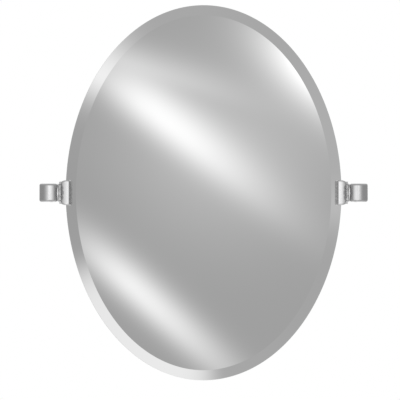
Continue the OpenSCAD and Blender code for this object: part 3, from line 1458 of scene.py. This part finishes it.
@dataclass
class GlassClamp:
    """The jaw that holds the edge of the glass, with its gasket and clamp screws.

    Attributes:
        hub_height: Height of the clamp at its hub.
        hub_depth: Depth of the clamp at its hub.
        hub_round: Radius round the hub's end face.
        shoulder: Length over which it rounds off towards the hub.
        steps: Number of strips in the shoulder.
        corner: Radius of the corners of its section.
        lip_roll: Radius of the rolled lip.
        cut_round: Radius put on the edges that are still square.
        slot_back: Place of the slot's back face.
        slot_end: Where the slot ends, from the middle of the glass.
        screw_z: Height of a clamp screw above or below the tilt axis.
        screw_bore: How far a clamp screw's hole runs from the screw's tip.
        screw_pitch: Pitch of the clamp screws' thread.
        tongue_round: Radius of the corners of the gasket's tongue.
        gasket_round: Radius along the front edges of the gasket.
    """

    hub_height: float = 39.5 * MM
    hub_depth: float = 20 * MM
    hub_round: float = 0.6 * MM
    shoulder: float = 9 * MM
    steps: int = 10
    corner: float = 4 * MM
    lip_roll: float = 2.5 * MM
    cut_round: float = 0.25 * MM
    slot_back: float = -53.8 * MM
    slot_end: float = 244 * MM
    screw_z: float = 12 * MM
    screw_bore: float = 20 * MM
    screw_pitch: float = 0.7 * MM
    tongue_round: float = 2 * MM
    gasket_round: float = 0.4 * MM

    def __post_init__(self) -> None:
        """Reads the places of the clamp and what it holds from the frame."""
        self.clamp_box = Box.of("right_clamp")
        self.gasket_box = Box.of("right_gasket")
        self.film_box = Box.of("safety_backing")
        self.glass_box = Box.of("mirror_glass")
        self.screw_box = Box.of("right_clamp_screws")
        self.stud_box = Box.of("right_pivot_stud")

    def narrowing(self, x: float, jaw: float, hub: float) -> float:
        """How far the clamp has narrowed at x, as a factor of its jaw.

        Args:
            x: Place along the tilt axis.
            jaw: The clamp's size at its jaw.
            hub: Its size at its hub.

        Returns:
            The factor.
        """
        drop = (jaw - hub) / 2
        radius = (self.shoulder**2 + drop**2) / (2 * drop)
        into = max(0.0, x - (self.clamp_box.high.x - self.shoulder))
        return 1 - (radius - math.sqrt(radius**2 - into**2)) / (jaw / 2)

    def jaw(self) -> Workpiece:
        """The clamp: a rounded bar drawn in to its hub, with a rolled lip, then slotted and drilled.

        Returns:
            The clamp.
        """
        lip, hub = self.clamp_box.low.x, self.clamp_box.high.x
        clamp = Workpiece.block("right_glass_clamp", self.clamp_box)
        clamp.pick_edges(lambda a, b: abs(a.x - b.x) > MM)
        clamp.round_edges(self.corner, segments=8)
        start = hub - self.shoulder
        stations = [start + self.shoulder * i / self.steps for i in range(self.steps + 1)]
        for x in stations[:-1]:
            clamp.score(Vector((x, 0, 0)), RIGHT)
        for x in stations[1:]:
            clamp.pick_points(lambda p: abs(p.x - x) < NEAR)
            shrink_y = self.narrowing(x, self.clamp_box.depth, self.hub_depth)
            shrink_z = self.narrowing(x, self.clamp_box.height, self.hub_height)
            clamp.scale((1, shrink_y, shrink_z), TILT.point(x, 0))
        clamp.pick_edges(lambda a, b: max(a.x, b.x) < lip + TINY, sharper=SQUARE)
        clamp.round_edges(self.lip_roll, segments=6)
        clamp.pick_edges(lambda a, b: min(a.x, b.x) > hub - TINY, sharper=20)
        clamp.round_edges(self.hub_round, segments=3)
        clamp.combine(self.slot())
        clamp.soften(self.cut_round)
        clamp.drill(TILT, (self.slot_end - OVERCUT, hub + OVERCUT), self.stud_box.height / 2)
        for z in (-self.screw_z, self.screw_z):
            clamp.drill(self.screw_spindle(z), (0, self.screw_bore), self.screw_box.width / 2)
        return clamp

    def slot(self) -> Workpiece:
        """A cutter for the slot that takes the edge of the glass.

        Returns:
            The cutter.
        """
        low, high = self.clamp_box.low, self.clamp_box.high
        front = Vector((low.x - OVERCUT, self.gasket_box.low.y, low.z - OVERCUT))
        back = Vector((self.slot_end, self.slot_back, high.z + OVERCUT))
        return Workpiece.block("slot_cutter", Box(front, back))

    def screw_spindle(self, z: float) -> Spindle:
        """The axis of a clamp screw, from its tip towards the wall."""
        return Spindle(Vector((self.screw_box.middle.x, self.screw_box.low.y, z)), INTO_WALL, RIGHT)

    def screws(self) -> Workpiece:
        """The two clamp screws of a side.

        Returns:
            The screws, as one workpiece.
        """
        kind = SocketScrew(self.screw_box.width / 2, self.screw_box.depth, self.screw_pitch)
        upper = kind.build("right_jaw_screws", self.screw_spindle(self.screw_z))
        upper.join(kind.build("lower_screw", self.screw_spindle(-self.screw_z)))
        return upper

    def gasket(self) -> Workpiece:
        """The soft channel round the edge of the glass, whose front leg shows past the lip as a dark band.
        That band also stands for the shade beside the lip: painted shade.

        Returns:
            The gasket.
        """
        front, seal = self.gasket_box.low.y, self.gasket_box.high.y
        show, lip, slot = self.gasket_box.low.x, self.clamp_box.low.x, self.gasket_box.high.x
        edge, back = self.glass_box.high.x, self.film_box.high.y
        bevelled = self.glass_box.low.y + MirrorPlate.bevel_drop
        slope = (bevelled - self.glass_box.low.y) / MirrorPlate.bevel_width
        on_bevel = bevelled - slope * (edge - show)
        section = [
            (show, front), (slot, front), (slot, seal), (lip, seal),
            (lip, back), (edge, back), (edge, bevelled), (show, on_bevel),
        ]
        foot = [Vector((x, y, self.gasket_box.low.z)) for x, y in section]
        strip = Workpiece.outline("right_channel_gasket", foot, filled=True)
        strip.pick_faces()
        strip.extrude(Vector((0, 0, self.gasket_box.height)))
        strip.tidy()
        strip.pick_edges(lambda a, b: max(a.x, b.x) < show + TINY and abs(a.y - b.y) > NEAR)
        strip.round_edges(self.tongue_round, segments=6)
        strip.pick_edges(
            lambda a, b: max(a.y, b.y) < front + TINY and min(a.x, b.x) < slot - MM, sharper=30
        )
        strip.round_edges(self.gasket_round, segments=3)
        return strip

    def build(self) -> None:
        """Builds both clamps, with their gaskets and screws."""
        join_both_sides(self.jaw(), "mirror", "clamp", "clamp_chrome")
        join_both_sides(self.gasket(), "mirror", "gasket", "gasket_vinyl")
        join_both_sides(self.screws(), "mirror", "clamp_screws", "black_screw")


# ---------------------------------------------------------------- parts that keep their CAD shape


@dataclass(frozen=True)
class CadParts:
    """CAD nodes of both sides that keep their shape and get a finish.

    Attributes:
        slot: The record's material slot.
        names: The nodes' names, without the side.
    """

    slot: str
    names: tuple[str, ...]

    def dress(self) -> None:
        """Gives the nodes their finish."""
        finish = SLOT_FINISHES[self.slot]
        nodes = [frame["nodes"][f"{side}_{name}"] for name in self.names for side in ("left", "right")]
        for node in nodes:
            for slot in node.material_slots:
                slot.material = finish.material()
            log.info("%s: kept, in %s", node.name, finish.name)


CAD_PARTS = (
    CadParts("nylon", ("pivot_bush", "friction_washer")),
    CadParts("zinc_plate", ("pressure_plate", "flat_washer", "lock_nut")),
    CadParts("stud_steel", ("spring_washer",)),
)


# ---------------------------------------------------------------- the studio


@dataclass(frozen=True)
class SoftLight:
    """A soft light in front of the mirror, given as where it shows in the flat glass.

    Attributes:
        x: Place across the glass, in millimetres from its middle.
        z: Place up the glass.
        turn: Direction of its length, in degrees up from the right.
        lengths: How far it reaches against that direction, and along it.
        widths: How far it reaches below, and above.
        level: Its radiance.
        edge: How sharply it ends. 1 fades like fog.
    """

    x: float
    z: float
    turn: float
    lengths: Pair
    widths: Pair
    level: float
    edge: float = 1.0

    def glow(self, x: Wire, z: Wire) -> Wire:
        """The light's radiance towards a place in the glass.

        Args:
            x: Place across the glass, in millimetres from its middle.
            z: Place up the glass.

        Returns:
            The radiance.
        """
        cos, sin = math.cos(math.radians(self.turn)), math.sin(math.radians(self.turn))
        right, up = x - self.x, z - self.z
        along = right * cos + up * sin
        across = up * cos - right * sin
        along = (along / self.lengths[1]).at_least(along / -self.lengths[0])
        across = (across / self.widths[1]).at_least(across / -self.widths[0])
        away = along * along + across * across
        return (away if self.edge == 1 else away**self.edge).decay() * self.level


@dataclass(frozen=True)
class SoftCard:
    """A card of soft light in front of the mirror, which only some pieces of metal reflect.

    Attributes:
        name: Its name.
        pieces: What the names of those pieces end in.
        place: Place of its middle across the room, and how far in front of the wall it hangs.
        reach: How far from its middle it has faded to a third, across and up.
        level: Radiance at its middle.
        spread: Its width and height, in reaches, by which it has faded out.
    """

    name: str
    pieces: tuple[str, ...]
    place: Pair
    reach: Pair
    level: float
    spread: float = 4.0

    def size(self) -> Pair:
        """Its width and height."""
        return self.spread * self.reach[0], self.spread * self.reach[1]

    def fade(self, light: bpy.types.Light) -> None:
        """Makes its lamp fade from the middle to the edges.

        Args:
            light: The lamp's light.
        """
        light.use_nodes = True
        light.node_tree.nodes.clear()
        graph = Graph(light.node_tree)
        u, v, _ = graph.axes(graph.node("ShaderNodeNewGeometry", output="Parametric"))
        across, up = u * self.spread - self.spread / 2, v * self.spread - self.spread / 2
        glow = (across * across + up * up).decay()
        shade = graph.node("ShaderNodeEmission", inputs={"Strength": glow})
        graph.add("ShaderNodeOutputLight", inputs={"Surface": shade})


@dataclass
class Studio:
    """The camera, the lamps, the surroundings and the floor.

    Attributes:
        distance: From the glass to the camera.
        eye: The camera's place beside and above the tilt axis.
        view_width: Width of the picture at the glass.
        fill: Radiance of the surroundings on matt surfaces.
        room: Radiance of the dim room that shows in the glass.
        room_rise: How much that rises from the level of the glass to straight above or below it.
        behind: Where the surroundings turn white, as how far a direction points into the wall.
        sideways: Least that a direction is taken to point out of the wall, to find its place in the glass.
        lights: The soft lights that show in the glass.
        bevel_lights: The lights that only the bevel shows.
        cards: The soft cards that light the brackets.
        key_place: Place of the key lamp.
        key_size: Its width and height.
        key_level: Its radiance.
        floor_drop: How far the floor is below the middle of the mirror.
        floor_radius: Radius of the floor.
        floor_sides: Number of points round the floor.
    """

    distance: float = 3.0
    eye: Pair = (-6.3 * MM, -12.8 * MM)
    view_width: float = 703.1 * MM
    fill: float = 0.75
    room: float = 0.36
    room_rise: float = 0.2
    behind: Pair = (0.55, 0.85)
    sideways: float = 0.02
    lights: tuple[SoftLight, ...] = (
        SoftLight(-90, 145, -38, (128, 228), (36, 48), 0.60),
        SoftLight(32, 73, -10, (190, 205), (160, 160), 0.18),
        SoftLight(-125, -165, -42, (135, 230), (30, 36), 0.58),
        SoftLight(232, 206, -35, (131, 300), (60, 14), 1.25),
        SoftLight(-58, 210, -19, (213, 132), (21, 33), 0.16),
    )
    bevel_lights: tuple[SoftLight, ...] = (
        SoftLight(-600, -745, -45, (480, 800), (900, 520), 0.48, edge=4),
        SoftLight(-755, 557, 58, (140, 240), (300, 300), 0.55),
        SoftLight(900, 200, 0, (500, 500), (500, 500), 0.08),
        SoftLight(905, -60, 0, (200, 200), (110, 110), 0.10),
    )
    cards: tuple[SoftCard, ...] = (
        SoftCard("arm_card", ("arm_shell",), (-0.05, 1.08), (0.62, 0.15), 0.63),
        SoftCard("clamp_card", ("glass_clamp", "bright_collar"), (0.0, 1.46), (1.35, 2.8), 0.63),
        SoftCard("wheel_card", ("toothed_wheel",), (0.0, 1.46), (1.35, 0.9), 0.10),
    )
    key_place: Triple = (-1.6, -2.6, 2.4)
    key_size: Pair = (1.6, 1.6)
    key_level: float = 5.9
    floor_drop: float = 1.5
    floor_radius: float = 1.3
    floor_sides: int = 96

    def camera(self) -> None:
        """Stands the camera where the photograph was taken from."""
        optics = bpy.data.cameras.new("camera")
        optics.lens = optics.sensor_width * self.distance / self.view_width
        stand = bpy.data.objects.new("camera", optics)
        glass_front = Box.of("mirror_glass").low.y
        stand.location = (self.eye[0], glass_front - self.distance, self.eye[1])
        stand.rotation_euler = (math.pi / 2, 0, 0)
        bpy.context.scene.collection.objects.link(stand)
        bpy.context.scene.camera = stand

    def surroundings(self) -> None:
        """Makes the world: white to the camera, even to matt surfaces, and a lit studio to glossy ones."""
        world = bpy.data.worlds.new("studio")
        bpy.context.scene.world = world
        world.use_nodes = True
        world.node_tree.nodes.clear()
        graph = Graph(world.node_tree)
        path = graph.add("ShaderNodeLightPath").outputs
        seen = Wire(graph, path["Is Camera Ray"]).at_least(Wire(graph, path["Is Transmission Ray"]))
        glossy = Wire(graph, path["Is Glossy Ray"])
        level = seen + (1 - seen) * (glossy * self.reflections(graph) + (1 - glossy) * self.fill)
        shade = graph.node("ShaderNodeBackground", inputs={"Color": (1, 1, 1, 1), "Strength": level})
        graph.add("ShaderNodeOutputWorld", inputs={"Surface": shade})

    def reflections(self, graph: Graph) -> Wire:
        """What glossy surfaces see: the soft lights in front, and a white background behind the object.

        Args:
            graph: The world's node tree.

        Returns:
            The radiance.
        """
        across, ahead, up = graph.axes(graph.node("ShaderNodeTexCoord", output="Generated"))
        front = (-ahead).at_least(self.sideways)
        x = across / front * (self.distance / MM) + self.eye[0] / MM
        z = up / front * (self.distance / MM) + self.eye[1] / MM
        level = self.room + up.unsigned() * self.room_rise
        for light in (*self.lights, *self.bevel_lights):
            level = level + light.glow(x, z)
        behind = ahead.step(*self.behind)
        return level * (1 - behind) + behind

    def lamp(self, name: str, place: Triple, size: Pair, radiance: float) -> bpy.types.Object:
        """Hangs a lamp that faces the wall and that the camera doesn't see.

        Args:
            name: The lamp's name.
            place: Where it hangs.
            size: Its width and height.
            radiance: How bright its face is. At 1 it is as bright as white.

        Returns:
            The lamp.
        """
        light = bpy.data.lights.new(name, "AREA")
        light.shape = "RECTANGLE"
        light.size, light.size_y = size
        light.energy = LAMP_POWER * radiance * size[0] * size[1]
        made = bpy.data.objects.new(name, light)
        made.location = place
        made.rotation_euler = (Vector((place[0], 0, 0)) - made.location).to_track_quat("-Z", "Y").to_euler()
        made.visible_camera = False
        bpy.context.scene.collection.objects.link(made)
        return made

    def key(self) -> None:
        """Hangs the key lamp, which only matt surfaces see."""
        self.lamp("key", self.key_place, self.key_size, self.key_level).visible_glossy = False

    def hang_card(self, card: SoftCard) -> None:
        """Hangs a soft card, and links it to the pieces that it lights.

        Args:
            card: The card.
        """
        x, distance = card.place
        hung = self.lamp(card.name, (x, -distance, 0.0), card.size(), card.level)
        card.fade(hung.data)
        lit = bpy.data.collections.new(card.name)
        for obj in bpy.context.scene.objects:
            if obj.name.endswith(card.pieces):
                lit.objects.link(obj)
        hung.light_linking.receiver_collection = lit

    def light_metal(self) -> None:
        """Hangs the soft cards, once the pieces are there."""
        for card in self.cards:
            self.hang_card(card)

    def floor(self) -> None:
        """Lays the pale floor."""
        Workpiece.clear_bench()
        middle = (0, 0, -self.floor_drop)
        bpy.ops.mesh.primitive_circle_add(
            vertices=self.floor_sides, radius=self.floor_radius, fill_type="NGON", location=middle
        )
        disc = Workpiece("pale_floor")
        disc.obj.data.materials.append(PaleFloor("pale_floor").material())

    def build(self) -> None:
        """Sets up the whole studio."""
        bpy.context.scene.view_settings.view_transform = "Standard"
        self.camera()
        self.surroundings()
        self.floor()
        self.key()


def main() -> None:
    """Builds the mirror and its studio."""
    studio = Studio()
    studio.build()
    for assembly in (MirrorPlate, WallArm, TiltJoint, GlassClamp):
        assembly().build()
    for parts in CAD_PARTS:
        parts.dress()
    studio.light_metal()
    bpy.context.view_layer.update()


if __name__ == "__main__":
    logging.basicConfig(level=logging.INFO, format="%(message)s")
    main()
